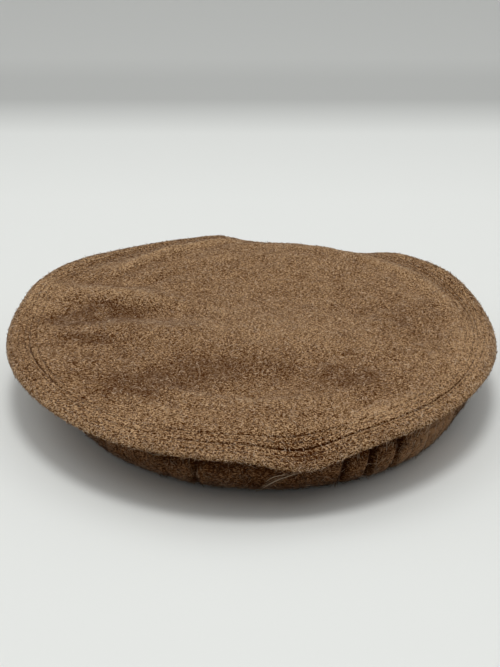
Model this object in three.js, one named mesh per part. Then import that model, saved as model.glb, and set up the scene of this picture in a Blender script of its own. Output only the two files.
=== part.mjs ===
// A pakol: a soft round wool hat. Its flat round crown has a doubled, stitched rim, and overhangs a
// thick band, which is the side cloth rolled up from its lower edge.
// Millimetres, +Z up. It lies by itself on a level surface at z = 0, crown upwards, front towards -Y.
// The origin is on that surface under the middle of the crown. Angles are in degrees, from +X to +Y.

import * as THREE from "three";
import { mergeVertices } from "three/addons/utils/BufferGeometryUtils.js";

const CROWN_DIAMETER = 268;
const CROWN_CLOTH = 2.2;
const UNDER_CLOTH = 1.8;
const UNDER_SETBACK = 1; // the under cloth ends this far inside the crown's edge
const OPENING_DIAMETER = 184; // where the head goes in
const ROLL_WIDTH = 26; // from the opening to the outside of the roll
const ROLL_HEIGHT = 33;
const WALL_CLOTH = 2.4;
const TUCK_DEPTH = 8; // the groove between the wall and the roll
const TUCK_GAP = 1.2;
const BAND_OFFSET = 7; // how far the crown has slid to the left on its band
const RIM_DROOP = 2.2; // from the crest over the roll down to the rim
const CENTRE_SAG = 4.4; // from that crest down to the middle of the crown
const LAYER_GAP = 0.3;

// Waves of the rim: lift is a share of the roll's height, spread is in degrees.
const RIM_WAVES = [
  { at: -148, lift: 0.08, spread: 20 },
  { at: -100, lift: 0.02, spread: 14 },
  { at: -79, lift: -0.2, spread: 8 },
  { at: -58, lift: 0.05, spread: 10 },
  { at: -32, lift: 0.08, spread: 18 },
  { at: 27, lift: 0.2, spread: 18 },
  { at: 63, lift: -0.24, spread: 13 },
  { at: 86, lift: -0.19, spread: 11 },
  { at: 156, lift: 0.21, spread: 24 },
];

// Soft folds of the crown: rise is a share of the roll's height, the rest are shares of the crown's
// radius, and turn is the fold's direction.
const CROWN_FOLDS = [
  { x: -0.6, y: 0.22, rise: 0.14, length: 0.26, width: 0.07, turn: -6 },
  { x: -0.52, y: 0.04, rise: -0.1, length: 0.3, width: 0.08, turn: 2 },
  { x: -0.56, y: -0.11, rise: 0.1, length: 0.26, width: 0.08, turn: 5 },
  { x: -0.62, y: -0.27, rise: -0.05, length: 0.18, width: 0.07, turn: -10 },
  { x: -0.51, y: 0.41, rise: -0.05, length: 0.22, width: 0.07, turn: 28 },
  { x: 0.02, y: -0.16, rise: 0.1, length: 0.5, width: 0.24, turn: 0 },
  { x: 0, y: -0.55, rise: -0.03, length: 0.45, width: 0.13, turn: 0 },
];

// Gathers pressed into the outside of the roll: depth is a share of its width, spread in degrees.
const GATHERS = [
  { at: -163, depth: 0.05, spread: 3 },
  { at: -114, depth: 0.03, spread: 2 },
  { at: -106.5, depth: 0.1, spread: 1.9 },
  { at: -71.6, depth: 0.1, spread: 1.8 },
  { at: -64.8, depth: 0.11, spread: 1.8 },
  { at: -57.4, depth: 0.11, spread: 1.8 },
  { at: -51, depth: 0.05, spread: 1.8 },
  { at: -45, depth: 0.04, spread: 1.9 },
  { at: -27, depth: 0.08, spread: 14 },
  { at: 18, depth: 0.05, spread: 3 },
  { at: 71, depth: 0.06, spread: 4 },
  { at: 128, depth: 0.05, spread: 4 },
];

// The rolled band's section, as shares of its width.
const FOOT_START = 0.32;
const SHOULDER = 0.54; // where the flat foot and the flat top end and the outside bulges
const CREST_START = 0.4;

// Rings of the mesh: shares of the opening's radius, then of the way from it out to the rim.
const OPENING_RINGS = [0.3, 0.52, 0.67, 0.79, 0.9];
const RIM_RINGS = [0, 0.18, 0.36, 0.54, 0.7, 0.86, 1];
const CROWN_STATIONS = 72;
const ROLL_STATIONS = 132;
const SECTION_STEPS = 4;
const FINEST_AT = -66; // the roll's stations crowd together round this angle, in among the gathers
const CROWDING = 0.45;
const WELD_DISTANCE = 1e-4;

const COLOURS = { crown_top: 0x7c6046, under_rim: 0x6e543c, rolled_side: 0x705640 };
const WOOL_ROUGHNESS = 0.95;

const crownRadius = CROWN_DIAMETER / 2;
const underEdge = crownRadius - UNDER_SETBACK;
const openingRadius = OPENING_DIAMETER / 2;
const shoulderRadius = openingRadius + SHOULDER * ROLL_WIDTH;
const rollEdge = openingRadius + ROLL_WIDTH;
const crestRadius = (openingRadius + rollEdge) / 2;
const underTop = ROLL_HEIGHT + LAYER_GAP + UNDER_CLOTH;
const crownTop = underTop + LAYER_GAP + CROWN_CLOTH;

const { degToRad, radToDeg, smoothstep, euclideanModulo, mapLinear } = THREE.MathUtils;
const bell = (distance, spread) => Math.exp(-((distance / spread) ** 2));
const between = (angle, other) => euclideanModulo(angle - other + 180, 360) - 180;

function sumOf(rows, share, angle) {
  return rows.reduce((sum, row) => sum + row[share] * bell(between(angle, row.at), row.spread), 0);
}

// Height of one fold: a bell along it times a narrower bell across it.
function foldRise(fold, x, y) {
  const dx = x / crownRadius - fold.x;
  const dy = y / crownRadius - fold.y;
  const turn = degToRad(fold.turn);
  const along = dx * Math.cos(turn) + dy * Math.sin(turn);
  const across = dy * Math.cos(turn) - dx * Math.sin(turn);
  return fold.rise * ROLL_HEIGHT * bell(along, fold.length) * bell(across, fold.width);
}

// How far the cloth at a point rises from where it would lie flat on the roll. It sags in the middle
// and droops and waves past the roll, but it can't sink where the roll carries it.
function clothRise(x, y) {
  const fromBand = Math.hypot(x - BAND_OFFSET, y);
  const overhang = smoothstep(fromBand, crestRadius, crownRadius);
  const overOpening = 1 - smoothstep(fromBand, 0, crestRadius);
  const wave = sumOf(RIM_WAVES, "lift", radToDeg(Math.atan2(y, x))) * ROLL_HEIGHT;
  const folds = CROWN_FOLDS.reduce((sum, fold) => sum + foldRise(fold, x, y), 0);
  const rise = (wave - RIM_DROOP) * overhang - CENTRE_SAG * overOpening + folds;
  const inner = smoothstep(fromBand, openingRadius - ROLL_WIDTH / 3, openingRadius);
  const outer = smoothstep(fromBand, shoulderRadius, rollEdge);
  return rise > 0 ? rise : rise * (1 - inner * (1 - outer));
}

// Moves a point of flat cloth to where it lies. The opening is round the band's middle and the rim
// is round the crown's, so the cloth between them is stretched evenly from one to the other.
function drape(point) {
  const radius = Math.hypot(point.x, point.y);
  const slid = smoothstep(radius, openingRadius, crownRadius);
  point.x += BAND_OFFSET * (1 - slid);
  point.z += clothRise(point.x, point.y);
}

// Moves a point of the even roll in by its gathers and out to the band's place.
function gather(point) {
  const radius = Math.hypot(point.x, point.y);
  const even = radToDeg(Math.atan2(point.y, point.x));
  const angle = even - radToDeg(CROWDING * Math.sin(degToRad(even - FINEST_AT)));
  const outside = smoothstep(radius, shoulderRadius, rollEdge);
  const pressed = radius - sumOf(GATHERS, "depth", angle) * ROLL_WIDTH * outside;
  point.x = BAND_OFFSET + pressed * Math.cos(degToRad(angle));
  point.y = pressed * Math.sin(degToRad(angle));
}

function turnFacesOver(index) {
  for (let i = 0; i < index.count; i += 3) {
    const first = index.getX(i);
    index.setX(i, index.getX(i + 1));
    index.setX(i + 1, first);
  }
}

// A closed body: the profile is turned round +Z, and move() then shifts each vertex.
function turnedMesh(name, profile, stations, move) {
  const turned = new THREE.LatheGeometry(profile, stations);
  turned.rotateX(Math.PI / 2);
  turned.deleteAttribute("normal");
  turned.deleteAttribute("uv");
  const position = turned.getAttribute("position");
  const point = new THREE.Vector3();
  for (let i = 0; i < position.count; i += 1) {
    point.fromBufferAttribute(position, i);
    move(point);
    position.setXYZ(i, point.x, point.y, point.z);
  }
  const geometry = mergeVertices(turned, WELD_DISTANCE);
  if (THREE.ShapeUtils.isClockWise(profile)) turnFacesOver(geometry.index);
  geometry.computeVertexNormals();
  const look = { color: COLOURS[name], roughness: WOOL_ROUGHNESS, metalness: 0 };
  const mesh = new THREE.Mesh(geometry, new THREE.MeshStandardMaterial(look));
  mesh.name = name;
  return mesh;
}

const rimRings = RIM_RINGS.map((share) => mapLinear(share, 0, 1, openingRadius, underEdge));
const atHeight = (radii, height) => radii.map((radius) => new THREE.Vector2(radius, height));

// The round top of one layer of cloth, out to the edge of the rim.
function crownTopPanel() {
  const rings = [0, ...OPENING_RINGS.map((share) => share * openingRadius), ...rimRings];
  const profile = [
    ...atHeight(rings, crownTop - CROWN_CLOTH),
    new THREE.Vector2(crownRadius, crownTop - CROWN_CLOTH / 2),
    ...atHeight(rings.toReversed(), crownTop),
  ];
  return turnedMesh("crown_top", profile, CROWN_STATIONS, drape);
}

// The ring of cloth under the rim, from the top of the wall out to just inside the crown's edge. Its
// profile starts along the top, so that its triangles there match those of the crown's underside.
function underRimRing() {
  const lower = [...rimRings.slice(0, -1), underEdge - UNDER_CLOTH / 2];
  const profile = [
    ...atHeight(rimRings, underTop),
    ...atHeight(lower.toReversed(), underTop - UNDER_CLOTH),
  ];
  profile.push(profile[0].clone());
  return turnedMesh("under_rim", profile, CROWN_STATIONS, drape);
}

// The side cloth: a wall round the opening, which turns out and up at its foot and is wound into a
// roll against the wall's outside. Only a tuck at the top parts the two.
function rolledSide() {
  const wallOutside = openingRadius + WALL_CLOTH;
  const foot = openingRadius + FOOT_START * ROLL_WIDTH;
  const crestStart = openingRadius + CREST_START * ROLL_WIDTH;
  const middle = ROLL_HEIGHT / 2;
  const section = new THREE.Path();
  section.moveTo(foot, 0);
  section.lineTo(shoulderRadius, 0);
  section.absellipse(shoulderRadius, middle, rollEdge - shoulderRadius, middle, -Math.PI / 2, Math.PI / 2);
  section.lineTo(crestStart, ROLL_HEIGHT);
  section.quadraticCurveTo(
    wallOutside + TUCK_GAP,
    ROLL_HEIGHT,
    wallOutside + TUCK_GAP / 2,
    ROLL_HEIGHT - TUCK_DEPTH,
  );
  section.lineTo(wallOutside, ROLL_HEIGHT);
  section.lineTo(openingRadius, ROLL_HEIGHT);
  section.lineTo(openingRadius, middle);
  section.quadraticCurveTo(openingRadius, 0, foot, 0);
  return turnedMesh("rolled_side", section.getPoints(SECTION_STEPS), ROLL_STATIONS, gather);
}

const hat = new THREE.Group();
hat.add(crownTopPanel(), underRimRing(), rolledSide());

export default hat;
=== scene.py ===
import math
import bpy
import numpy as np
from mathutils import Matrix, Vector


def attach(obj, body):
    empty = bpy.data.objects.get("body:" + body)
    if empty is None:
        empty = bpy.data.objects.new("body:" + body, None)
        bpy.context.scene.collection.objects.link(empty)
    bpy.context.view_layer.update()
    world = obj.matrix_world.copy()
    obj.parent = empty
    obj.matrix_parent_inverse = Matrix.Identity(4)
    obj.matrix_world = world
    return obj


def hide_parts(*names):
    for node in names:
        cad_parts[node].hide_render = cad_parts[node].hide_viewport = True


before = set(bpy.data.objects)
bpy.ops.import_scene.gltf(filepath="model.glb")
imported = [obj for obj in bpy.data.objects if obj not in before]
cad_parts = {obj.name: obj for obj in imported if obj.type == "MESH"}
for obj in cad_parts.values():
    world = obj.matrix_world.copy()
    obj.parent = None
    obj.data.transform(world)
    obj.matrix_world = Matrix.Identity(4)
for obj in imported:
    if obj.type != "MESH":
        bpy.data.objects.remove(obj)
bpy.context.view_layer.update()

mm = 0.001


# shared shape functions

def smoothStep(value, start, end):
    # cubic ease: 0 up to start, 1 from end on
    share = np.clip((value - start) / (end - start), 0, 1)
    return share * share * (3 - 2 * share)


def bell(distance, spread):
    # e to the minus square of distance over spread
    return np.exp(-((distance / spread) ** 2))


def turnBetween(angle, other):
    # signed difference of two angles, from -180 to 180
    return (angle - other + 180) % 360 - 180


def crumple(x, y, shortest, longest, count, seed):
    # a sum of sine waves in random directions, each as high as its own length, scaled to about 1
    pick = np.random.default_rng(seed)
    total = np.zeros(np.broadcast(x, y).shape)
    lengths = np.geomspace(shortest, longest, count)
    for length in lengths:
        turn, phase = pick.uniform(0, 2 * np.pi, 2)
        total += length * np.sin(2 * np.pi * (x * np.cos(turn) + y * np.sin(turn)) / length + phase)
    return total / np.sqrt((lengths ** 2).sum() / 2)


def joined(*parts):
    # single coordinates joined into one array of points, or corner numbers into one of faces
    return np.stack(np.broadcast_arrays(*parts), axis=-1)


def polar(radius, turn):
    # x and y of a point at a radius and an angle, which is in radians
    return radius * np.cos(turn), radius * np.sin(turn)


def addObject(name, data, place=(0, 0, 0), turned=(0, 0, 0)):
    # an object of a mesh, light or camera, at a place and turned by angles in radians
    made = bpy.data.objects.new(name, data)
    made.location = place
    made.rotation_euler = turned
    bpy.context.scene.collection.objects.link(made)
    return made


def newPiece(name, points, faces):
    # an object with a smoothly shaded mesh
    mesh = bpy.data.meshes.new(name)
    mesh.from_pydata(points.reshape(-1, 3).tolist(), [], faces)
    mesh.shade_smooth()
    print(name, "made:", len(faces), "faces")
    return addObject(name, mesh)


def addPointValues(piece, name, values):
    # one number for each point of the mesh, which a material can read
    layer = piece.data.attributes.new(name, "FLOAT", "POINT")
    layer.data.foreach_set("value", values.astype(np.float32).ravel())


def ringQuads(rings, perRing, rows):
    # corner numbers of quads between neighbouring rings of points, for so many rows of quads
    row, place = np.mgrid[0:rows, 0:perRing]
    nextRow, nextPlace = (row + 1) % rings, (place + 1) % perRing
    return joined(row * perRing + place, row * perRing + nextPlace,
                  nextRow * perRing + nextPlace, nextRow * perRing + place).reshape(-1, 4)


def poleFans(rings, perRing):
    # triangles that close the first and the last ring with two points, which come after the rings
    here = np.arange(perRing)
    after = (here + 1) % perRing
    top, end = (rings - 1) * perRing, rings * perRing
    return np.concatenate([joined(end, after, here), joined(end + 1, top + here, top + after)])


def roundMesh(name, rings, flat, shadeAndWear, poles=None, flatTurn=0.0):
    # rings[i, j] is profile row i at station j, and quads join neighbours. Stations join up round the
    # hat. Given two poles, fans close the first and last rows, and otherwise the last row joins the
    # first. flat[i, j] is the place on the flat cloth, which grows by flatTurn in one whole turn.
    # One more table gives each point its painted light and shade with the nap's wear: above 0 painted
    # lighter, below 0 painted darker, and below -1 as dark as the shade in a crease.
    rows, stations = rings.shape[:2]
    corners = ringQuads(rows, stations, rows if poles is None else rows - 1)
    points = rings.reshape(-1, 3)
    places = flat.reshape(-1, 2)
    cornerPlaces = places[corners]
    cornerPlaces[corners[:, 0] % stations == stations - 1, 1:3, 0] += flatTurn
    faces = corners.tolist()
    facePlaces = [cornerPlaces.reshape(-1, 2)]
    if poles is not None:
        fans = poleFans(rows, stations)
        points = np.vstack([points, poles])
        shadeAndWear = np.append(shadeAndWear, [shadeAndWear[0].mean(), shadeAndWear[-1].mean()])
        places = np.vstack([places, np.asarray(poles)[:, :2]])
        faces += fans.tolist()
        facePlaces.append(places[fans].reshape(-1, 2))
    piece = newPiece(name, points, faces)
    layer = piece.data.uv_layers.new(name="cloth")
    layer.uv.foreach_set("vector", np.concatenate(facePlaces).astype(np.float32).ravel())
    addPointValues(piece, "shadeAndWear", shadeAndWear)
    return piece


lowestFibre = 0.05 * mm  # no point of a fibre goes below this


def hairMesh(name, roots, along, up, side, settings, pick):
    # each hair is a bent, closed spindle: root point, rings of three points, tip point. At a share of
    # its length it has gone that far along, risen by lift times the share squared less what of its
    # root is still sunk, and swung to the side by bow times the sine of 180 degrees times the share
    count = len(roots)
    length = pick.uniform(*settings["length"], (count, 1))
    lift = pick.uniform(*settings["lift"], (count, 1)) * length
    bow = pick.normal(0, settings["bow"], (count, 1)) * length
    thick = pick.uniform(*settings["thick"], (count, 1)) / 2
    spins = np.radians([90, 210, 330])

    def place(share):
        rise = lift * share ** 2 - settings["sunk"] * (1 - share)
        return roots + along * length * share + up * rise + side * bow * math.sin(math.pi * share)

    def ring(share):
        girth = thick * math.sin(math.pi * share) ** 0.5
        middle = place(share)
        return [middle + girth * (side * math.cos(spin) + up * math.sin(spin)) for spin in spins]

    rings = settings["rings"]
    shares = [number / (rings + 1) for number in range(1, rings + 1)]
    points = np.stack([place(0), *[point for share in shares for point in ring(share)], place(1)], axis=1)
    points[..., 2] = np.maximum(points[..., 2], lowestFibre)
    perHair = points.shape[1]
    start = perHair * np.arange(count)[:, None, None]
    neighbours = [(1, 2), (2, 3), (3, 1)]  # points of the first ring
    top = 3 * (rings - 1)
    rootFaces = [[0, right, left] for left, right in neighbours]
    tipFaces = [[perHair - 1, left + top, right + top] for left, right in neighbours]
    faces = (start + np.array(rootFaces + tipFaces)).reshape(-1, 3).tolist()
    if rings > 1:
        sides = np.array([[left + low, right + low, right + low + 3, left + low + 3]
                          for low in range(0, top, 3) for left, right in neighbours])
        faces += (start + sides).reshape(-1, 4).tolist()
    piece = newPiece(name, points, faces)
    addPointValues(piece, "tint", np.repeat(pick.random(count), perHair))
    return piece


# rolled side: a wall round the opening, wound up outside into a roll

band = {
    "opening": 92 * mm,  # radius
    "width": 26 * mm,
    "height": 33 * mm,
    "offset": 7 * mm,  # to the right of the crown's middle
    "wall": 2.4 * mm,
    "tuckDepth": 8 * mm,
    "tuckGap": 1.2 * mm,
    "footStart": 0.32,  # shares of the width
    "shoulder": 0.54,
    "crestStart": 0.4,
    "wallRounding": 0.5 * mm,  # of the wall's top edges
    "unevenness": 0.35 * mm,
    "unevenWaves": (5 * mm, 50 * mm, 16, 5),  # shortest, longest, how many, seed
    "unevenLean": 0.6,  # how far the waves shift along X with the height
    # points of the mesh: round the hat, and along the parts of its section
    "stations": 800, "footPoints": 5, "outsidePoints": 40, "tuckPoints": 9, "wallPoints": 8,
    "innerPoints": 12,
    # where, depth as a share of the width, half width in degrees, lean in degrees from foot to crest
    "gathers": [
        (-163, 0.05, 2.6, 0), (-133, 0.03, 1.2, 1), (-114, 0.04, 0.8, 1), (-106.6, 0.1, 0.7, 0.8),
        (-90, 0.02, 1.5, -1), (-79, 0.03, 0.9, 1), (-71.6, 0.15, 0.85, 1.5), (-64.7, 0.2, 1.0, 2),
        (-57.4, 0.22, 1.0, 2.2), (-52, 0.05, 0.8, 2), (-46, 0.05, 1.0, 2), (-39, 0.03, 1.2, 2),
        (-32, 0.03, 1.4, 2), (18, 0.05, 2.6, 0), (44, 0.03, 1.5, 0), (71, 0.06, 3.0, 0), (128, 0.05, 3.0, 0)],
    "swelling": 0.3,  # of the cloth beside a gather, as a share of its depth
    "swellingWidth": 3,  # and how many times as wide as the gather
    "pressedFrom": 2 * mm,  # the gathers fade in from this far inside the shoulder
    "flattened": [(-27, 0.08, 14)],
    "napAndShading": -0.4,  # how worn the cloth is all over
    "gatherShadeDepth": 0.07,  # a gather this deep, as a share of the width, is painted darker by 1, as painted shade
    "gatherShadingLimits": (-2, 0.8),  # the most painted shade in the gathers and painted light on the swellings beside them
    # where the roll is painted lighter, as painted light where it is lit more, how much, half width in
    # degrees
    "paintedLight": [(-42, 3.8, 13), (-66, 0.15, 12), (-120, 0.5, 12)],
    "paintedShadeAndWear": 1.7,  # how much darker the cloth is painted close under the rim, as painted shade
    "rimShadeFrom": 13 * mm,  # and the heights between which it gets so
    "rimShadeTo": 25 * mm,
}
bandEdge = band["opening"] + band["width"]
bandShoulder = band["opening"] + band["shoulder"] * band["width"]
bandCrest = (band["opening"] + bandEdge) / 2


def bandSection():
    # the closed outline of the band's section, as radius and height: foot, half an ellipse up the
    # outside, flat crest, a curve down into the tuck, wall top, wall, and a curve out to the foot
    height, half = band["height"], band["height"] / 2
    foot = band["opening"] + band["footStart"] * band["width"]
    crest = band["opening"] + band["crestStart"] * band["width"]
    wall = band["opening"] + band["wall"]
    swing = np.linspace(-np.pi / 2, np.pi / 2, band["outsidePoints"])
    share = np.linspace(0, 1, band["tuckPoints"])[:, None]
    ease = np.linspace(0, 1, band["innerPoints"])[1:-1, None]
    outside = joined(bandShoulder + (bandEdge - bandShoulder) * np.cos(swing), half + half * np.sin(swing))
    corner = np.array([wall + band["tuckGap"], height])
    tuck = np.array([wall + band["tuckGap"] / 2, height - band["tuckDepth"]])
    overCrest = (1 - share) ** 2 * [crest, height] + 2 * share * (1 - share) * corner + share ** 2 * tuck
    rounding = band["wallRounding"]
    wallTop = np.array([[wall, height - 0.8 * rounding], [wall - rounding, height],
                        [band["opening"] + rounding, height], [band["opening"], height - 1.2 * rounding]])
    wallDown = joined(band["opening"], np.linspace(height - 4 * rounding, half, band["wallPoints"]))
    inner = ((1 - ease) ** 2 * [band["opening"], half] + 2 * ease * (1 - ease) * [band["opening"], 0]
             + ease ** 2 * [foot, 0])
    feet = joined(np.linspace(foot, bandShoulder, band["footPoints"])[:-1], 0)
    return np.concatenate([feet, outside, overCrest, wallTop, wallDown, inner])


def bandPress(radius, height, angle):
    # how far the outside is pressed in: a narrow bell for each gather less a low, wide one for the
    # swelling beside it, and wide bells where the roll is flattened. Foot and inside are not pressed.
    outside = smoothStep(radius, bandShoulder - band["pressedFrom"], bandEdge)
    pressed = np.zeros(np.broadcast(radius, angle).shape)
    for at, depth, spread, lean in band["gathers"]:
        off = turnBetween(angle, at + lean * (height / band["height"] - 0.5))
        swelling = band["swelling"] * bell(off, band["swellingWidth"] * spread)
        pressed += depth * band["width"] * (bell(off, spread) - swelling)
    for at, depth, spread in band["flattened"]:
        pressed += depth * band["width"] * bell(turnBetween(angle, at), spread)
    return pressed * outside


def bandPoints(radius, height, angle):
    # a point of the even roll, pressed in by the gathers and waved by a low crumple
    outside = smoothStep(radius, bandShoulder, bandEdge)
    turn = np.radians(angle)
    evenX, evenY = polar(bandEdge, turn)
    wave = crumple(evenX + band["unevenLean"] * height, evenY + height, *band["unevenWaves"])
    radius = radius - bandPress(radius, height, angle) + band["unevenness"] * wave * outside
    x, y = polar(radius, turn)
    return joined(band["offset"] + x, y, height)


def makeBand():
    # the section turned round the opening. On the flat cloth, one direction runs round at the
    # shoulder's radius and the other along the section.
    section = bandSection()
    angles = 90 + np.arange(band["stations"]) * 360 / band["stations"]  # its seam is at the back
    radius, height, angle = section[:, :1], section[:, 1:], angles[None, :]
    along = np.concatenate([[0], np.cumsum(np.linalg.norm(np.diff(section, axis=0), axis=1))])
    flat = joined(np.radians(angle) * bandShoulder, along[:, None])
    # painted shade in the gathers and painted light on the swellings beside them
    gatherShading = -bandPress(radius, height, angle) / (band["gatherShadeDepth"] * band["width"])
    shadeAndWear = band["napAndShading"] + np.clip(gatherShading, *band["gatherShadingLimits"])
    outside = smoothStep(radius, bandShoulder, bandEdge)
    # painted light on the outside of the roll
    paintedLight = sum(amount * bell(turnBetween(angle, at), spread) for at, amount, spread in band["paintedLight"])
    shadeAndWear += outside * paintedLight
    # painted shade close under the rim
    shadeAndWear -= band["paintedShadeAndWear"] * outside * smoothStep(height, band["rimShadeFrom"], band["rimShadeTo"])
    return roundMesh("rolled_side_wool", bandPoints(radius, height, angle), flat, shadeAndWear,
                     flatTurn=2 * np.pi * bandShoulder)


# crown: one round layer, laid over the roll

crown = {
    "radius": 134 * mm,
    "cloth": 2.2 * mm,
    "underCloth": 1.8 * mm,
    "layerGap": 0.3 * mm,
    # the crown's edge is turned down over the under cloth: it rounds off by edgeDrop over edgeReach,
    # then turns under by underDrop over underReach
    "edgeReach": 4.5 * mm,
    "edgeDrop": 3.0 * mm,
    "underReach": 1.9 * mm,
    "underDrop": 1.1 * mm,
    "droop": 2.2 * mm,
    "sag": 4.4 * mm,
    "sagFlat": 0.25,  # the sag is even out to this share of the roll's crest
    "stations": 540,
    # rings of the mesh: out to a radius, and how many
    "rings": [(88 * mm, 48), (115.5 * mm, 24)],
    "rimRings": 46,
    "edgeRings": 25,
    "lowerRings": [0.1, 0.25, 0.45, 0.62, 0.76, 0.86, 0.94, 1],  # shares of the underside's radius
    "lowerGap": 0.3 * mm,  # from the underside's last ring to where the edge turns under
    "underSetback": 0.7 * mm,  # from there in to the edge of the under cloth
    "underRings": 30, "underEndRings": 6,
    "underStations": 360,
    # where, lift as a share of the roll's height, half width in degrees
    "waves": [
        (-148, 0.08, 20), (-100, 0.02, 14), (-79, -0.2, 8), (-58, 0.05, 10), (-32, 0.08, 18),
        (27, 0.2, 18), (46, 0.04, 6), (63, -0.24, 13), (86, -0.19, 11), (99, 0.05, 6), (156, 0.21, 24)],
    # x, y, rise as a share of the roll's height, half length, half width, direction
    "folds": [
        (-0.6, 0.22, 0.14, 0.26, 0.07, -6), (-0.58, 0.05, -0.09, 0.24, 0.08, 2),
        (-0.46, -0.1, 0.07, 0.26, 0.09, 3), (-0.64, -0.26, -0.06, 0.18, 0.07, -10),
        (-0.51, 0.41, -0.05, 0.22, 0.07, 28), (0.02, -0.16, 0.1, 0.5, 0.24, 0),
        (0.0, -0.55, -0.03, 0.45, 0.13, 0)],
    # arcs round the band: radius, where, how far the radius drifts in a degree, rise, half width,
    # half length in degrees
    "arcs": [
        (113.5 * mm, 124, -0.24 * mm, 2.6 * mm, 4.5 * mm, 36), (126 * mm, 146, 0, -1.6 * mm, 5 * mm, 18),
        (104 * mm, 126, -0.2 * mm, -0.8 * mm, 5 * mm, 26), (107 * mm, 28, 0, 1.9 * mm, 5 * mm, 30),
        (118 * mm, 30, 0, -0.5 * mm, 6 * mm, 22), (110 * mm, -120, 0, 0.8 * mm, 6 * mm, 12),
        (112 * mm, -50, 0, 0.9 * mm, 6 * mm, 18)],
    # places painted darker or lighter, as the painted shade and light of folds and slopes: x, y, shade,
    # half length, half width, direction
    "napAndShading": [
        (-0.02, -0.38, -1.1, 0.42, 0.17, -4), (-0.18, -0.38, -0.3, 0.12, 0.1, 0),
        (-0.36, -0.56, -1.1, 0.22, 0.12, 22), (0.42, -0.52, -1.1, 0.18, 0.13, -14),
        (-0.62, -0.42, -0.5, 0.18, 0.16, -30), (-0.8, -0.5, -0.5, 0.2, 0.08, -55),
        (0.1, -0.08, 0.4, 0.34, 0.12, 0), (-0.44, 0.47, -0.4, 0.34, 0.07, 14),
        (-0.77, 0.00, -1.1, 0.1, 0.05, 4), (-0.6, 0.11, -0.45, 0.14, 0.06, 0),
        (-0.68, 0.07, -0.4, 0.12, 0.05, 30), (-0.66, -0.18, -1.3, 0.14, 0.06, -4),
        (-0.6, 0.02, -0.45, 0.14, 0.06, 0), (-0.66, 0.075, -0.8, 0.08, 0.05, 0),
        (-0.4, 0.15, -0.4, 0.16, 0.07, 0), (-0.47, -0.54, -0.7, 0.15, 0.12, 10),
        (0.77, -0.52, 0.4, 0.2, 0.1, 50), (-0.43, -0.79, 1.0, 0.12, 0.05, -28),
        (0.47, -0.74, 1.1, 0.2, 0.06, 24), (-0.68, -0.68, 0.6, 0.25, 0.08, -45),
        (0.48, -0.1, 0.3, 0.1, 0.2, 0), (0.00, -0.8, -0.6, 0.34, 0.09, 0),
        (0.22, -0.82, -0.7, 0.11, 0.07, 0), (-0.74, -0.05, -1.3, 0.13, 0.06, 0),
        (0.62, -0.02, -1.1, 0.18, 0.24, 30), (0.9, -0.2, 1.4, 0.25, 0.1, 70),
        (-0.9, 0.16, 1.0, 0.12, 0.07, -60), (-0.46, -0.08, -1.2, 0.24, 0.07, 3),
        (-0.44, 0.66, 0.8, 0.36, 0.05, 38), (0.7, 0.39, 0.6, 0.3, 0.05, -62)],
    "crumple": 0.28 * mm,
    "crumpleWaves": (7 * mm, 55 * mm, 26, 11),  # shortest, longest, how many, seed
    "held": 0.6,  # share of the crumple that the stitching takes away
    "heldFrom": 112 * mm,
    "heldTo": 118 * mm,
    "cavityReach": 9 * mm,  # what stands above the cloth this far round it is painted lighter, and what lies below it darker
    "cavityHeight": 1.1 * mm,
    # the darkest that the painted light and shade gets, before the grooves
    "darkestPaintedShade": -1.35,
    "grooveShade": 1.6,  # how much darker a groove of the stitching is painted, as painted shade
    "grooveMost": 1.4,
    "edgeSwings": [-90, -22, 2, 40, 75],  # degrees round the edge, and the painted light (above 0) and painted shade (below 0) there
    "edgeShading": [-3.0, -3.0, 0.2, 0.4, -0.1],
}
underTop = band["height"] + crown["layerGap"] + crown["underCloth"]
crownTop = underTop + crown["layerGap"] + crown["cloth"]


def addBells(total, rows, x, y, scale=1):
    # each row adds a bell along its direction times one across it, in shares of the crown's radius
    for atX, atY, amount, long, wide, direction in rows:
        turn = math.radians(direction)
        offX, offY = x / crown["radius"] - atX, y / crown["radius"] - atY
        along = offX * math.cos(turn) + offY * math.sin(turn)
        across = offY * math.cos(turn) - offX * math.sin(turn)
        total += amount * scale * bell(along, long) * bell(across, wide)
    return total


def clothRise(x, y):
    # how far the cloth over the roll rises from lying flat on it: waves and droop past the roll, a
    # sag over the opening, and folds. It can't sink where the roll carries it.
    fromBand = np.hypot(x - band["offset"], y)
    angle = np.degrees(np.arctan2(y, x))
    wave = sum(lift * bell(turnBetween(angle, at), spread) for at, lift, spread in crown["waves"])
    folds = addBells(np.zeros(np.shape(fromBand)), crown["folds"], x, y, band["height"])
    bandAngle = np.degrees(np.arctan2(y, x - band["offset"]))
    for radius, at, drift, lift, wide, long in crown["arcs"]:
        off = turnBetween(bandAngle, at)
        folds += lift * bell(fromBand - radius - drift * off, wide) * bell(off, long)
    rise = ((wave * band["height"] - crown["droop"]) * smoothStep(fromBand, bandCrest, crown["radius"])
            - crown["sag"] * (1 - smoothStep(fromBand, crown["sagFlat"] * bandCrest, bandCrest)) + folds)
    inner = smoothStep(fromBand, band["opening"] - band["width"] / 3, band["opening"])
    outer = smoothStep(fromBand, bandShoulder, bandEdge)
    return np.where(rise > 0, rise, rise * (1 - inner * (1 - outer)))


# rows of stitching that quilt the two layers of the rim

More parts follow.
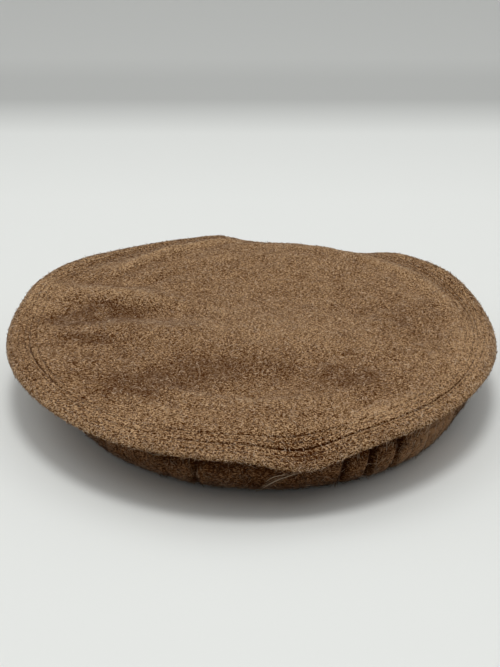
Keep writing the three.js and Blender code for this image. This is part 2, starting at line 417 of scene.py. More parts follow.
quilting = {
    "firstRow": 118.0 * mm,
    "rows": 5,
    "pitch": 3.2 * mm,
    "wander": 0.45 * mm,
    # sine waves that a row wanders by: how many round it, height, shift in radians from row to row
    "sways": [(2, 1, 1.9), (5, 0.6, 2.6), (11, 0.3, 1)],
    "grooveDepth": 0.8 * mm,
    "grooveWidth": 0.4 * mm,
    "pillow": 0.2 * mm,  # how far the cloth swells between two rows
    "pucker": 0.08 * mm,  # small ridges across the rows, one for each stitch
    "puckerShift": 900,  # radians that they shift by for each metre further out
    "startsIn": 1.5 * mm,  # the swell starts this far inside the first row
    "endsOut": 2 * mm,  # and ends this far outside the last
    "underShare": 0.5,  # of the relief shows on the under cloth,
    "underGrooveShade": 0.6,  # and this much of the grooves' painted shade
    "stitch": 2.3 * mm,
    "stitchGap": 1.0 * mm,
    "thread": 0.36 * mm,
    "drift": 0.12,  # degrees by which a stitch strays along its row
    "halves": (0.42, 0.55),  # half a stitch's length, as a share of "stitch"
    "proud": 0.15,  # how far a stitch stands up in its middle, in threads
    "dive": 0.75,  # and how much lower its ends are
    "clear": 0.08,  # no loose fibre starts where a groove is deeper than this
    "seed": 21,
    # how hard the thread of each row is pulled, from the innermost row out
    "pull": [0.4, 0.22, 0.34, 0.34, 0.25],
    # row, where, how much harder, half width in degrees
    "tight": [
        (0, -97, 0.6, 24), (0, -55, 0.3, 14), (1, -155, 0.8, 22), (1, 5, 0.3, 24), (2, -82, 1.7, 28),
        (2, -46, 1.2, 18), (3, -75, 0.3, 30)],
}


def rowRadius(row, angle):
    # each row is a circle that wanders a little, by a sum of sine waves round it
    turn = np.radians(angle)
    sway = sum(height * np.sin(waves * turn + shift * row) for waves, height, shift in quilting["sways"])
    return quilting["firstRow"] + row * quilting["pitch"] + quilting["wander"] * sway


def rowPull(row, angle):
    # how hard the thread is pulled: the row's own pull, and more along its tight stretches
    pull = quilting["pull"][row] * np.ones(np.shape(angle))
    for tightRow, at, more, spread in quilting["tight"]:
        if tightRow == row:
            pull += more * bell(turnBetween(angle, at), spread)
    return pull


def grooves(x, y):
    # 1 along the middle of a row that is pulled fully, and 0 between the rows
    radius, angle = np.hypot(x, y), np.degrees(np.arctan2(y, x))
    total = np.zeros(np.shape(radius))
    for row in range(quilting["rows"]):
        total += rowPull(row, angle) * bell(radius - rowRadius(row, angle), quilting["grooveWidth"])
    return total


def quiltRelief(x, y):
    # a groove along every row, and between the rows a low swell with a pucker for each stitch
    radius, angle = np.hypot(x, y), np.degrees(np.arctan2(y, x))
    first, last = rowRadius(0, angle), rowRadius(quilting["rows"] - 1, angle)
    inRim = (smoothStep(radius, first - quilting["startsIn"], first)
             * (1 - smoothStep(radius, last, last + quilting["endsOut"])))
    stitches = 2 * np.pi * crown["radius"] / (quilting["stitch"] + quilting["stitchGap"])
    alongRow = np.sin(np.radians(angle) * stitches + quilting["puckerShift"] * radius)
    pucker = alongRow * np.sin(2 * np.pi * radius / quilting["pitch"])
    relief = (quilting["pillow"] + quilting["pucker"] * pucker) * inRim
    return relief - quilting["grooveDepth"] * grooves(x, y)


def drape(x, y):
    # moves flat cloth to its place: the opening is round the band's middle and the rim round the
    # crown's, with the cloth between them stretched evenly
    slid = smoothStep(np.hypot(x, y), band["opening"], crown["radius"])
    return x + band["offset"] * (1 - slid), y


def edgeFall(radius):
    # how far the rim has rounded off at a radius: a quarter of an ellipse
    share = np.clip((radius - crown["radius"] + crown["edgeReach"]) / crown["edgeReach"], 0, 1)
    return crown["edgeDrop"] * (1 - np.sqrt(1 - share ** 2))


def crownSurface(x, y):
    # height of the crown's upper face: its place on the roll, the rise of the cloth, the quilting and
    # a crumple that the stitching holds down, less what the edge has rounded off
    radius = np.hypot(x, y)
    loose = 1 - crown["held"] * smoothStep(radius, crown["heldFrom"], crown["heldTo"])
    ripple = crown["crumple"] * crumple(x, y, *crown["crumpleWaves"]) * loose
    return crownTop + clothRise(x, y) + quiltRelief(x, y) + ripple - edgeFall(radius)


def paintedShading(x, y):
    # painted light and shade: how far the cloth stands above eight points round it, so that crests are
    # painted lighter and hollows darker, plus a bell for each place painted darker or lighter, less the
    # painted shade where the stitching presses down
    turns = np.arange(8) * np.pi / 4
    reach = crown["cavityReach"]
    around = sum(clothRise(x + reach * math.cos(turn), y + reach * math.sin(turn)) for turn in turns)
    shadeAndWear = np.clip((clothRise(x, y) - around / len(turns)) / crown["cavityHeight"], -1, 1)
    shadeAndWear = np.maximum(addBells(shadeAndWear, crown["napAndShading"], x, y), crown["darkestPaintedShade"])
    return shadeAndWear - crown["grooveShade"] * np.clip(grooves(x, y), 0, crown["grooveMost"])


def edgeSection(swing):
    # the rim's edge from the top at swing 90 degrees round to -90: radius, and depth below crownSurface
    over = swing > 0
    radius = crown["radius"] - np.where(over, crown["edgeReach"], crown["underReach"]) * (1 - np.cos(swing))
    depth = crown["edgeDrop"] - np.where(over, crown["edgeDrop"], crown["underDrop"]) * np.sin(swing)
    return radius, depth - edgeFall(radius)


def makeCrown():
    # a closed body turned round the middle: its underside from the middle out, the rounded edge, and
    # the upper face back in. Every ring is then draped over the roll.
    radius, cloth = crown["radius"], crown["cloth"]
    hem = radius - crown["edgeReach"]
    (insideEnd, insideRings), (overEnd, overRings) = crown["rings"]
    inside = np.linspace(0, insideEnd, insideRings)[1:]
    over = np.linspace(insideEnd, overEnd, overRings)[1:]
    rim = np.linspace(overEnd, hem, crown["rimRings"])[1:-1]
    lower = np.array(crown["lowerRings"]) * (radius - crown["underReach"] - crown["lowerGap"])
    swing = np.linspace(-90, 90, crown["edgeRings"])
    edgeRadius, edgeDepth = edgeSection(np.radians(swing))
    # profile rows as flat radius, and depth below the upper face
    rowsRadius = np.concatenate([lower, edgeRadius, rim[::-1], over[::-1], inside[::-1]])
    rowsDepth = np.concatenate([
        np.full(len(lower), cloth), edgeDepth, np.zeros(len(rim) + len(over) + len(inside))])
    edge = slice(len(lower), len(lower) + len(swing))
    angles = np.radians(np.arange(crown["stations"]) * 360 / crown["stations"])
    x, y = drape(*polar(rowsRadius[:, None], angles))
    # on the flat cloth the edge lies further out than the hem, by the length of its curve
    clothRadius = rowsRadius.copy()
    steps = np.hypot(np.diff(edgeRadius), np.diff(edgeDepth + edgeFall(edgeRadius)))
    clothRadius[edge] = hem + np.append(np.cumsum(steps[::-1])[::-1], 0)
    flat = joined(*polar(clothRadius[:, None], angles))
    bottom = (np.arange(len(rowsRadius)) < len(lower))[:, None]
    z = np.where(bottom, crownTop + clothRise(x, y), crownSurface(x, y)) - rowsDepth[:, None]
    # painted light along the edge's outside and painted shade where it turns under
    shadeAndWear = paintedShading(x, y)
    edgeShading = np.interp(swing, crown["edgeSwings"], crown["edgeShading"])
    shadeAndWear[edge] += edgeShading[:, None]
    middle = crownSurface(np.array([band["offset"]]), np.array([0.0]))[0]
    poles = [(band["offset"], 0, middle - cloth), (band["offset"], 0, middle)]
    return roundMesh("crown_wool", joined(x, y, z), flat, shadeAndWear, poles)


def makeUnderRim():
    # the ring of cloth under the rim, which ends inside the crown's turned-down edge. Its section is
    # a flat strip with rounded ends.
    inner, outer = band["opening"], crown["radius"] - crown["underReach"] - crown["underSetback"]
    half = crown["underCloth"] / 2
    top = np.linspace(inner + half, outer - half, crown["underRings"])
    swing = np.linspace(np.pi / 2, -np.pi / 2, crown["underEndRings"])[1:-1]
    innerEdge = inner + half - half * np.cos(swing)
    outerEdge = outer - half + half * np.cos(swing[::-1])
    rowsRadius = np.concatenate([top[::-1], innerEdge, top, outerEdge])
    rowsDepth = np.concatenate([
        np.zeros(len(top)), half * (1 - np.sin(swing)),
        np.full(len(top), 2 * half), half * (1 - np.sin(swing[::-1]))])
    angles = np.radians(np.arange(crown["underStations"]) * 360 / crown["underStations"])
    flatX, flatY = polar(rowsRadius[:, None], angles)
    x, y = drape(flatX, flatY)
    below = (rowsDepth > half)[:, None]
    relief = np.where(below, quilting["underShare"] * quiltRelief(x, y), 0)
    z = underTop + clothRise(x, y) - rowsDepth[:, None] - relief
    # painted shade in the stitched grooves
    shadeAndWear = np.where(below, -quilting["underGrooveShade"] * grooves(x, y), 0)
    return roundMesh("under_rim_wool", joined(x, y, z), joined(flatX, flatY), shadeAndWear)


def makeStitches():
    # each stitch is a closed spindle of thread along its row, arched so that both ends dive in
    step = quilting["stitch"] + quilting["stitchGap"]
    rows = []
    for row in range(quilting["rows"]):
        count = int(2 * np.pi * rowRadius(row, 0) / step)
        rows.append(joined(row, np.arange(count) * 360 / count))
    table = np.concatenate(rows)
    pick = np.random.default_rng(quilting["seed"])
    row, angle = table[:, 0], table[:, 1] + pick.normal(0, quilting["drift"], len(table))
    halfLength = quilting["stitch"] * pick.uniform(*quilting["halves"], len(table))
    half = np.degrees(halfLength / (quilting["firstRow"] + row * quilting["pitch"]))
    shares = np.array([-1, -0.75, -0.25, 0.25, 0.75, 1])  # places along a stitch
    girths = np.array([0.0, 0.8, 1, 1, 0.8, 0.0])  # and how full its thread is there
    sides = 5
    at = angle[:, None] + half[:, None] * shares
    radius = rowRadius(row[:, None], at)
    turn = np.radians(at)
    x, y = polar(radius, turn)
    arch = quilting["thread"] * (quilting["proud"] - quilting["dive"] * shares ** 2)
    z = crownSurface(x, y) + arch
    spin = np.arange(sides) * 2 * np.pi / sides
    out, up = polar((quilting["thread"] / 2 * girths)[None, :, None], spin)
    outX, outY = polar(out, turn[:, :, None])
    rings = joined(x[:, :, None] + outX, y[:, :, None] + outY, z[:, :, None] + up)
    middle = rings[:, 1:-1].reshape(len(table), -1, 3)
    ends = rings[:, [0, -1], 0]
    points = np.concatenate([middle, ends], axis=1)
    perStitch = points.shape[1]
    loops = len(shares) - 2
    # the corners run the other way here, so that the faces look outwards
    quads = ringQuads(loops, sides, loops - 1)[:, [0, 3, 2, 1]]
    caps = poleFans(loops, sides)[:, [0, 2, 1]]
    start = perStitch * np.arange(len(table))[:, None, None]
    faces = (start + quads).reshape(-1, 4).tolist() + (start + caps).reshape(-1, 3).tolist()
    return newPiece("rim_stitches", points, faces)


bandPiece = makeBand()
crownPiece = makeCrown()
underPiece = makeUnderRim()
stitchPiece = makeStitches()


# loose fibres of the fulled cloth

# for each kind: lift and bow are shares of the length, and "sunk" is how deep the root sits. The first
# seed places the fibres and the second shapes them.
crownFuzz = {
    "count": 16000, "rings": 2, "length": (1.8 * mm, 4.5 * mm), "lift": (0.0, 0.09), "bow": 0.22,
    "thick": (0.18 * mm, 0.36 * mm), "sunk": 0.06 * mm, "seeds": (31, 32),
    "inset": 1.5 * mm,  # none starts nearer the edge than this
    "brushed": 90,  # direction that the nap is brushed in, and how far hairs stray from it
    "strays": 34,
}
crownDown = {
    "count": 30000, "rings": 1, "length": (0.9 * mm, 2.4 * mm), "lift": (0.0, 0.12), "bow": 0.15,
    "thick": (0.16 * mm, 0.3 * mm), "sunk": 0.05 * mm, "seeds": (35, 36),
    "inset": 1.0 * mm,
    "rim": 116 * mm,  # past this radius the fibres lie along the rows
    "strays": 0.3,  # radians
}
edgeFuzz = {
    "count": 7000, "rings": 2, "length": (0.9 * mm, 2.4 * mm), "lift": (-0.15, 0.2), "bow": 0.2,
    "thick": (0.18 * mm, 0.34 * mm), "sunk": 0.06 * mm, "seeds": (41, 42),
    "drops": (0.05, 0.6),  # where they start, from the top of the edge at 0 to its end at 1
}
bandFuzz = {
    "count": 12000, "rings": 2, "length": (1.5 * mm, 5.5 * mm), "lift": (0.02, 0.22), "bow": 0.22,
    "thick": (0.12 * mm, 0.3 * mm), "sunk": 0.06 * mm, "seeds": (51, 52),
    "shares": (0.12, 0.95),  # where they start, from the roll's foot at 0 to its crest at 1
}


# small steps in the two parameters of each surface, which give its slopes
slopeSteps = {"crown": (0.2 * mm, 0.2 * mm), "edge": (0.01, 0.001), "band": (0.05, 0.004)}


def surfaceFrame(surface, first, second, step):
    # point, unit normal and unit tangent of a surface of two parameters, by small differences
    point = surface(first, second)
    alongFirst = surface(first + step[0], second) - point
    alongSecond = surface(first, second + step[1]) - point
    normal = np.cross(alongFirst, alongSecond)
    normal /= np.linalg.norm(normal, axis=-1, keepdims=True)
    tangent = alongFirst / np.linalg.norm(alongFirst, axis=-1, keepdims=True)
    return point, normal, tangent


def strew(name, surface, first, second, step, settings, heading=None):
    # hairs at the given parameters of a surface, turned by their heading about its normal, or at random
    pick = np.random.default_rng(settings["seeds"][1])
    point, normal, tangent = surfaceFrame(surface, first, second, step)
    across = np.cross(normal, tangent)
    turn = pick.uniform(0, 2 * np.pi, len(point)) if heading is None else heading
    turn = turn[:, None]
    along = tangent * np.cos(turn) + across * np.sin(turn)
    return hairMesh(name, point, along, normal, np.cross(normal, along), settings, pick)


def crownPoint(x, y):
    # a point of the crown's upper face
    return joined(x, y, crownSurface(x, y))


def placesOnCrown(settings, pick):
    # radii and angles spread evenly over a round: the radius is the root of an even random share
    count = settings["count"]
    radius = (crown["radius"] - settings["inset"]) * np.sqrt(pick.random(count))
    return radius, pick.uniform(0, 2 * np.pi, count)


def strewOnCrown(name, radius, turn, settings, heading):
    # hairs that start clear of the stitched grooves
    x, y = polar(radius, turn)
    clear = grooves(x, y) < quilting["clear"]
    return strew(name, crownPoint, x[clear], y[clear], slopeSteps["crown"], settings, heading[clear])


def makeCrownFuzz():
    # the nap is brushed from front to back, so most of the hairs lie near that direction, either way
    pick = np.random.default_rng(crownFuzz["seeds"][0])
    radius, turn = placesOnCrown(crownFuzz, pick)
    heading = pick.normal(crownFuzz["brushed"], crownFuzz["strays"], len(radius))
    heading = np.radians(heading + 180 * pick.integers(0, 2, len(radius)))
    return strewOnCrown("crown_fuzz", radius, turn, crownFuzz, heading)


def makeCrownDown():
    # short fibres that lie every way between the longer ones, and along the rows on the rim
    pick = np.random.default_rng(crownDown["seeds"][0])
    radius, turn = placesOnCrown(crownDown, pick)
    anyWay = pick.uniform(0, 2 * np.pi, len(radius))
    alongRow = turn + np.pi / 2 + pick.normal(0, crownDown["strays"], len(radius))
    heading = np.where(radius > crownDown["rim"], alongRow, anyWay)
    return strewOnCrown("crown_down", radius, turn, crownDown, heading)


def edgePoint(drop, turn):
    # a point of the rim's rounded edge: turn is its angle, and drop runs from the top to the bottom
    radius, depth = edgeSection(np.pi / 2 - drop * np.pi)
    x, y = polar(radius, turn)
    return joined(x, y, crownSurface(x, y) - depth)


def makeEdgeFuzz():
    # fibres that lie every way on the rim's rounded edge
    pick = np.random.default_rng(edgeFuzz["seeds"][0])
    turn = pick.uniform(0, 2 * np.pi, edgeFuzz["count"])
    drop = pick.uniform(*edgeFuzz["drops"], edgeFuzz["count"])
    return strew("edge_fuzz", edgePoint, drop, turn, slopeSteps["edge"], edgeFuzz)


def bandOutside(angle, share):
    # the outside of the roll, half an ellipse from its foot at share 0 to its crest at share 1
    swing = -np.pi / 2 + share * np.pi
    radius = bandShoulder + (bandEdge - bandShoulder) * np.cos(swing)
    return bandPoints(radius, band["height"] / 2 * (1 + np.sin(swing)), angle)


def makeBandFuzz():
    # fibres that lie every way on the outside of the roll
    pick = np.random.default_rng(bandFuzz["seeds"][0])
    share = pick.uniform(*bandFuzz["shares"], bandFuzz["count"])
    angle = pick.uniform(-180, 180, bandFuzz["count"])
    return strew("band_fuzz", bandOutside, angle, share, slopeSteps["band"], bandFuzz)


# longer hairs that have come loose. Their length is in "hairs", so lift and bow are in metres here.
strayHairs = {
    "rings": 6, "length": (1, 1), "lift": (0.6 * mm, 2.0 * mm), "bow": 1.2 * mm,
    "thick": (0.22 * mm, 0.36 * mm), "sunk": 0.1 * mm,
    # on the roll: from angle and share up it, to angle and share up it
    "hairs": [
        (-92.0, 0.26, -82.5, 0.56), (-91.0, 0.3, -85.0, 0.52), (-72.5, 0.78, -68.5, 0.66),
        (-70.6, 0.82, -66.6, 0.8), (-70.2, 0.26, -69.4, 0.62), (-68.9, 0.34, -69.0, 0.7),
        (-63.6, 0.24, -62.8, 0.56), (-63.2, 0.34, -62.2, 0.72), (-62.2, 0.44, -60.0, 0.66),
        (-56.6, 0.24, -55.6, 0.6), (-55.4, 0.3, -54.6, 0.68), (-53.0, 0.36, -51.4, 0.66),
        (-49.0, 0.34, -47.6, 0.66), (-45.0, 0.36, -43.6, 0.66), (-108.4, 0.26, -107.8, 0.6),
        (-119.0, 0.52, -113.0, 0.6), (-124.0, 0.46, -119.5, 0.62)],
    "perHair": 4,  # each of these is a wisp of a few hairs
    "spread": 0.7 * mm,
    "clearance": 0.3 * mm,
    "seed": 61,
}


def makeStrayHairs():
    # a hair runs from one point of the roll's outside to another, bent by its lift and bow
    pick = np.random.default_rng(strayHairs["seed"])
    table = np.repeat(np.array(strayHairs["hairs"]), strayHairs["perHair"], axis=0)
    start, normal, _ = surfaceFrame(bandOutside, table[:, 0], table[:, 1], slopeSteps["band"])
    start = start + pick.normal(0, strayHairs["spread"], start.shape)
    end = bandOutside(table[:, 2], table[:, 3]) + pick.normal(0, strayHairs["spread"], start.shape)
    along = end - start
    # held off the round band by the height of the arc over its run, so that it doesn't cut in
    arc = (along ** 2).sum(axis=1, keepdims=True) / (8 * bandEdge)
    start += normal * (arc + strayHairs["clearance"])
    side = np.cross(normal, along / np.linalg.norm(along, axis=1, keepdims=True))
    return hairMesh("stray_hairs", start, along, normal, side, strayHairs, pick)


crownFuzzPiece = makeCrownFuzz()
edgeFuzzPiece = makeEdgeFuzz()
bandFuzzPiece = makeBandFuzz()
strayPiece = makeStrayHairs()
crownDownPiece = makeCrownDown()


# materials

# "shade" runs from dark at 0 over middle at a half to light at 1
wool = {
    "dark": (0.048, 0.0108, 0.0003, 1),
    "middle": (0.161, 0.062, 0.009, 1),
    "light": (0.53, 0.347, 0.19, 1),
    # features per metre
    "strandsAlong": 780, "strandsAcross": 2100, "fleckScale": 1750, "mottleScale": 85, "bendScale": 260,
    "clumpShare": 0.28,  # of the flecks' scale
    "strandTurns": (52, 96, 128),
    "threadPitch": 1.0 * mm, "threadTurn": 35,
    "bend": 1.2 * mm,  # how far the woven grid is bent
    # how each pattern moves the shade: its low and high value, and the shade at each of them
    "strandShade": (0.54, 0.73, -0.75, 1.65),
    "fleckShade": (0.36, 0.64, -1.05, 1.05),
    "clumpShade": (0.35, 0.65, -0.28, 0.28),
    "mottleShade": (0.3, 0.7, 0.26, 0.66),
    "weaveShade": 0.2,
    # how far the painted light and shade, with the nap's wear, moves the shade
    "shadingShare": 0.45,
    "lightPower": 1.35,  # keeps the tones between middle and light warm
    "creaseShade": (-0.9, -1.9, 0.0, 0.94),  # painted light and shade from and to, and the share of dark at each, as the painted shade of a crease
    "roughness": (0.0, 1.0, 0.98, 0.86),  # shade from and to, and the roughness at each
    "fleckHeight": 0.4, "weaveHeight": 0.15, "reliefDepth": 0.6 * mm,
    "specular": 0.05,
    "veil": (0.5, 0.72),  # turned away by this much, the veil of fine hair starts and is full
    "veilRoughness": 0.25, "veilTint": (0.91, 0.76, 0.57, 1),
}


def newGroup(name, inputs, outputs):
    # inputs are (name, kind, value or None), and outputs are (name, kind)
    group = bpy.data.node_groups.new(name, "ShaderNodeTree")
    for label, kind, value in inputs:
        socket = group.interface.new_socket(name=label, in_out="INPUT", socket_type="NodeSocket" + kind)
        if value is not None:
            socket.default_value = value
    for label, kind in outputs:
        group.interface.new_socket(name=label, in_out="OUTPUT", socket_type="NodeSocket" + kind)
    return group, group.nodes.new("NodeGroupInput").outputs, group.nodes.new("NodeGroupOutput")


def setSockets(tree, made, sockets):
    # each named socket is linked to an output, or else takes a value
    for socket, source in sockets.items():
        if isinstance(source, bpy.types.NodeSocket):
            tree.links.new(source, made.inputs[socket])
        else:
            made.inputs[socket].default_value = source


def node(tree, kind, sockets=None, **settings):
    # outputs of a new node, whose properties are the settings
    made = tree.nodes.new(kind)
    for key, value in settings.items():
        setattr(made, key, value)
    setSockets(tree, made, sockets or {})
    return made.outputs


def noise(tree, place, scale, detail, roughness=0.5, distortion=0.0, **settings):
    # fractal noise: scale is its waves in one unit of the place, and detail how many finer ones it adds
    sockets = {"Vector": place, "Scale": scale, "Detail": detail, "Roughness": roughness,
               "Distortion": distortion}
    return node(tree, "ShaderNodeTexNoise", sockets, **settings)


def mathNode(tree, operation, *values):
    # one step of arithmetic on outputs and numbers
    return node(tree, "ShaderNodeMath", dict(enumerate(values)), operation=operation)[0]


def remap(tree, value, low, high, toLow=0.0, toHigh=1.0):
    # a straight line from low and high to two other values, and level beyond them
    sockets = {"Value": value, "From Min": low, "From Max": high, "To Min": toLow, "To Max": toHigh}
    return node(tree, "ShaderNodeMapRange", sockets)["Result"]


def mixColours(tree, factor, first, second):
    # a Mix node has its colours in sockets 6 and 7, and the mixed one in output 2
    return node(tree, "ShaderNodeMix", {0: factor, 6: first, 7: second}, data_type="RGBA")[2]


def makeWoolGroup():
    # fulled wool: light strands with dark gaps, flecks of two sizes, a faint woven grid, a slow mottle
    group, given, out = newGroup("flecked wool", [
        ("Object", "Vector", None), ("Cloth", "Vector", None), ("Dark", "Color", wool["dark"]),
        ("Middle", "Color", wool["middle"]), ("Light", "Color", wool["light"]),
        ("Fleck Scale", "Float", wool["fleckScale"]), ("Contrast", "Float", 1.0), ("Weave", "Float", 0.5),
        ("ShadeAndWear", "Float", 0.0),
    ], [("Color", "Color"), ("Height", "Float"), ("Roughness", "Float")])

    def plus(*values):
        return mathNode(group, "ADD", *values)

    def times(*values):
        return mathNode(group, "MULTIPLY", *values)

    place, cloth, scale = given["Object"], given["Cloth"], given["Fleck Scale"]
    fleck = noise(group, place, scale, 2.0, 0.6)["Fac"]
    clump = noise(group, place, times(scale, wool["clumpShare"]), 2.0, 0.55, 0.8)["Fac"]
    mottle = noise(group, place, wool["mottleScale"], 3.0)["Fac"]
    # strands in three directions: the highest of three stretched noises
    strands = []
    for turn in wool["strandTurns"]:
        stretched = node(group, "ShaderNodeMapping", {
            "Vector": cloth, "Location": (turn, turn, 0), "Rotation": (0, 0, math.radians(turn)),
            "Scale": (wool["strandsAlong"], wool["strandsAcross"], 1)})["Vector"]
        strands.append(noise(group, stretched, 1.0, 1.0, distortion=0.4, noise_dimensions="2D")["Fac"])
    strand = mathNode(group, "MAXIMUM", mathNode(group, "MAXIMUM", strands[0], strands[1]), strands[2])
    # threads cross at the pitch, swayed by a noise so that the grid is never quite regular
    sway = noise(group, place, wool["bendScale"], 1.0)["Color"]
    bend = node(group, "ShaderNodeVectorMath", {
        0: sway, 1: (wool["bend"], wool["bend"], 0)}, operation="MULTIPLY")[0]
    bent = node(group, "ShaderNodeVectorMath", {0: cloth, 1: bend}, operation="ADD")[0]
    turnedCloth = node(group, "ShaderNodeMapping", {
        "Vector": bent, "Rotation": (0, 0, math.radians(wool["threadTurn"]))})["Vector"]
    split = node(group, "ShaderNodeSeparateXYZ", {"Vector": turnedCloth})
    perMetre = 2 * math.pi / wool["threadPitch"]
    warp = mathNode(group, "SINE", times(split["X"], perMetre))
    weft = mathNode(group, "SINE", times(split["Y"], perMetre))
    weave = times(times(warp, weft), given["Weave"])
    shade = plus(remap(group, strand, *wool["strandShade"]), remap(group, fleck, *wool["fleckShade"]))
    shade = plus(shade, remap(group, clump, *wool["clumpShade"]))
    shade = plus(shade, times(weave, wool["weaveShade"]))
    shade = times(shade, given["Contrast"])
    shade = plus(shade, remap(group, mottle, *wool["mottleShade"]))
    # painted light and shade with the nap's wear, kept no lower than -1, moves the shade
    paintedShadeAndWear = mathNode(group, "MAXIMUM", given["ShadeAndWear"], -1.0)
    shade = plus(shade, times(paintedShadeAndWear, wool["shadingShare"]))
    lower = mixColours(group, remap(group, shade, 0.0, 0.5), given["Dark"], given["Middle"])
    lightShare = mathNode(group, "POWER", remap(group, shade, 0.5, 1.0), wool["lightPower"])
    colour = mixColours(group, lightShare, lower, given["Light"])
    # below -0.9 the colour turns towards dark: painted shade of creases and grooves
    creaseShade = remap(group, given["ShadeAndWear"], *wool["creaseShade"])
    height = plus(times(fleck, wool["fleckHeight"]), strand)
    setSockets(group, out, {
        "Color": mixColours(group, creaseShade, colour, given["Dark"]),
        "Height": plus(height, times(weave, wool["weaveHeight"])),
        "Roughness": remap(group, shade, *wool["roughness"])})
    return group


woolGroup = makeWoolGroup()


def newMaterial(name):
    # a material, its node tree and its shader
    material = bpy.data.materials.new(name)
    material.use_nodes = True
    return material, material.node_tree, material.node_tree.nodes["Principled BSDF"]


# each cloth takes the wool's own colours times its tone
cloths = {
    "crown wool": {"tone": (1, 1, 1), "contrast": 1.0, "weave": 0.6, "bump": 0.7, "sheen": 0.65},
    "under rim wool": {"tone": (0.9, 0.88, 0.86), "contrast": 0.9, "weave": 0.6, "bump": 0.7, "sheen": 0.65},
    "rolled side wool": {
        "tone": (0.66, 0.56, 0.52), "contrast": 0.48, "weave": 0.3, "bump": 0.9, "sheen": 0.2},
}


def woolMaterial(name):
    # the wool's pattern in the tones of one cloth. The sheen stands for the veil of fine hair, which
    # shows where the cloth turns away.
    material, tree, shader = newMaterial(name)
    look = cloths[name]
    sockets = {
        "Object": node(tree, "ShaderNodeTexCoord")["Object"],
        "Cloth": node(tree, "ShaderNodeUVMap", uv_map="cloth")["UV"],
        # painted light and shade with the nap's wear, one value for each point
        "ShadeAndWear": node(tree, "ShaderNodeAttribute", attribute_name="shadeAndWear")["Fac"],
        "Contrast": look["contrast"], "Weave": look["weave"]}
    for socket in ("Dark", "Middle", "Light"):
        sockets[socket] = (*[part * share for part, share in zip(wool[socket.lower()], look["tone"])], 1)
    pattern = node(tree, "ShaderNodeGroup", sockets, node_tree=woolGroup)
    relief = node(tree, "ShaderNodeBump", {
        "Strength": look["bump"], "Distance": wool["reliefDepth"], "Height": pattern["Height"]})
    facing = node(tree, "ShaderNodeLayerWeight", {"Blend": 0.5})["Facing"]
    setSockets(tree, shader, {
        "Base Color": pattern["Color"], "Roughness": pattern["Roughness"], "Normal": relief["Normal"],
        "Specular IOR Level": wool["specular"],
        "Sheen Weight": remap(tree, facing, *wool["veil"], 0.0, look["sheen"]),
        "Sheen Roughness": wool["veilRoughness"], "Sheen Tint": wool["veilTint"]})
    return material


# darkest and lightest colour of each kind. The power makes light ones rare.
fibres = {
    "crown fibres": ((0.14, 0.05, 0.006, 1), (0.88, 0.68, 0.48, 1)),
    "band fibres": ((0.05, 0.022, 0.009, 1), (0.58, 0.41, 0.28, 1)),
    "stray fibres": ((0.3, 0.19, 0.11, 1), (0.76, 0.6, 0.44, 1)),
    "power": 2.2,
    "roughness": 0.7,
    "specular": 0.1,
}


def hairMaterial(name):
    # each hair's own tint picks its colour between dark and light
    material, tree, shader = newMaterial(name)
    tint = node(tree, "ShaderNodeAttribute", attribute_name="tint")["Fac"]
    colour = mixColours(tree, mathNode(tree, "POWER", tint, fibres["power"]), *fibres[name])
    setSockets(tree, shader, {
        "Base Color": colour, "Roughness": fibres["roughness"], "Specular IOR Level": fibres["specular"]})
    return material


thread = {
    "dark": (0.02, 0.01, 0.005, 1), "light": (0.075, 0.042, 0.02, 1), "roughness": 0.75,
    "twistScale": 1400, "relief": 0.4, "reliefDepth": 0.2 * mm,
}


def threadMaterial():
    # a fine noise tints the thread and gives it its twist
    material, tree, shader = newMaterial("brown stitching thread")
    place = node(tree, "ShaderNodeTexCoord")["Object"]
    twist = noise(tree, place, thread["twistScale"], 2.0)["Fac"]
    relief = node(tree, "ShaderNodeBump", {
        "Strength": thread["relief"], "Distance": thread["reliefDepth"], "Height": twist})
    setSockets(tree, shader, {
        "Base Color": mixColours(tree, twist, thread["dark"], thread["light"]),
        "Normal": relief["Normal"], "Roughness": thread["roughness"]})
    return material


crownHair = hairMaterial("crown fibres")
for piece, material in (
        (crownPiece, woolMaterial("crown wool")), (underPiece, woolMaterial("under rim wool")),
        (bandPiece, woolMaterial("rolled side wool")), (stitchPiece, threadMaterial()),
        (crownFuzzPiece, crownHair), (edgeFuzzPiece, crownHair), (crownDownPiece, crownHair),
        (bandFuzzPiece, hairMaterial("band fibres")), (strayPiece, hairMaterial("stray fibres"))):
    piece.data.materials.append(material)
print("materials made")


# table, backdrop, light and camera

stage = {
    "halfWidth": 3.0, "near": -1.6, "far": 4.0, "tint": (0.99, 1.01, 0.98), "roughness": 0.8, "specular": 0.1,
    # brightness of the surface at a distance behind the hat's middle
    "shades": [(0.00, 0.815), (0.3, 0.83), (0.5, 0.79), (0.64, 0.5), (0.74, 0.51), (0.86, 0.575),
               (1.4, 0.6)],
}
lighting = {
    "ambient": 0.18,
    # strength, apparent size, tilt from overhead and where it leans to, in degrees
    "suns": {
        "sky light": (1.05, 75, 3, 100),
        "right light": (0.37, 60, 58, 24),
        "left light": (0.53, 60, 58, 156)},
    "overhead": {"place": (-0.01, -0.17, 1.59), "size": 0.42, "power": 8.0},
}
view = {"place": (-0.0008, -0.5008, 0.2854), "tilt": 27.23, "lens": 54.0, "sensor": 36.0}


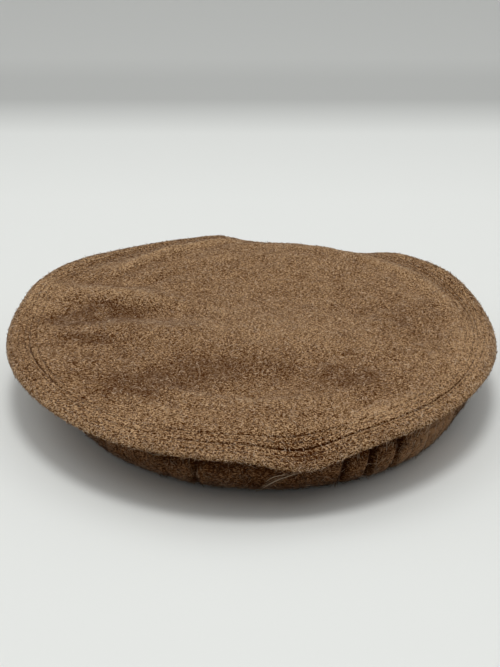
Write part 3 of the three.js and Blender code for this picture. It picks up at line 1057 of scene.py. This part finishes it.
def makeTable():
    # a level sheet whose brightness follows the shades by distance
    half, near, far = stage["halfWidth"], stage["near"], stage["far"]
    mesh = bpy.data.meshes.new("table_top")
    corners = [(-half, near, 0), (half, near, 0), (half, far, 0), (-half, far, 0)]
    mesh.from_pydata(corners, [], [(0, 1, 2, 3)])
    table = addObject("table_top", mesh)
    material, tree, shader = newMaterial("pale table")
    place = node(tree, "ShaderNodeTexCoord")["Object"]
    depth = node(tree, "ShaderNodeSeparateXYZ", {"Vector": place})["Y"]
    start, end = stage["shades"][0][0], stage["shades"][-1][0]
    ramp = tree.nodes.new("ShaderNodeValToRGB")
    setSockets(tree, ramp, {"Fac": remap(tree, depth, start, end)})
    stops = ramp.color_ramp.elements
    while len(stops) < len(stage["shades"]):
        stops.new(0.5)
    for stop, (distance, grey) in zip(stops, stage["shades"]):
        stop.position = (distance - start) / (end - start)
        stop.color = (*[grey * part for part in stage["tint"]], 1)
    setSockets(tree, shader, {
        "Base Color": ramp.outputs["Color"], "Roughness": stage["roughness"],
        "Specular IOR Level": stage["specular"]})
    mesh.materials.append(material)


def makeLight():
    # a round lamp above the front, which faces the hat, wide suns, and an even light all round
    overhead = lighting["overhead"]
    lamp = bpy.data.lights.new("overhead light", "AREA")
    lamp.shape = "DISK"
    lamp.size = overhead["size"]
    lamp.energy = overhead["power"]
    towardsHat = -Vector(overhead["place"])
    addObject("overhead light", lamp, overhead["place"], towardsHat.to_track_quat("-Z", "Y").to_euler())
    for name, (strength, size, tilt, leansTo) in lighting["suns"].items():
        lamp = bpy.data.lights.new(name, "SUN")
        lamp.energy = strength
        lamp.angle = math.radians(size)
        addObject(name, lamp, (0, 0, 1), (0, math.radians(tilt), math.radians(leansTo)))
    world = bpy.data.worlds.new("studio")
    world.use_nodes = True
    setSockets(world.node_tree, world.node_tree.nodes["Background"], {
        "Color": (1, 1, 1, 1), "Strength": lighting["ambient"]})
    bpy.context.scene.world = world


def makeCamera():
    # looks along +Y and down by its tilt
    lens = bpy.data.cameras.new("camera")
    lens.lens = view["lens"]
    lens.sensor_width = view["sensor"]
    turned = (math.radians(90 - view["tilt"]), 0, 0)
    bpy.context.scene.camera = addObject("camera", lens, view["place"], turned)
    bpy.context.scene.view_settings.view_transform = "Standard"


makeTable()
makeLight()
makeCamera()
print("stage, light and camera made")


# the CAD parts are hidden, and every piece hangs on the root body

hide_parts("crown_top")
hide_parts("under_rim")
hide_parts("rolled_side")
for piece, slot in (
        (crownPiece, "crown_wool"), (underPiece, "under_wool"), (bandPiece, "band_wool"),
        (stitchPiece, "crown_wool"), (crownFuzzPiece, "crown_wool"), (edgeFuzzPiece, "crown_wool"),
        (bandFuzzPiece, "band_wool"), (strayPiece, "band_wool"), (crownDownPiece, "crown_wool")):
    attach(piece, "root")
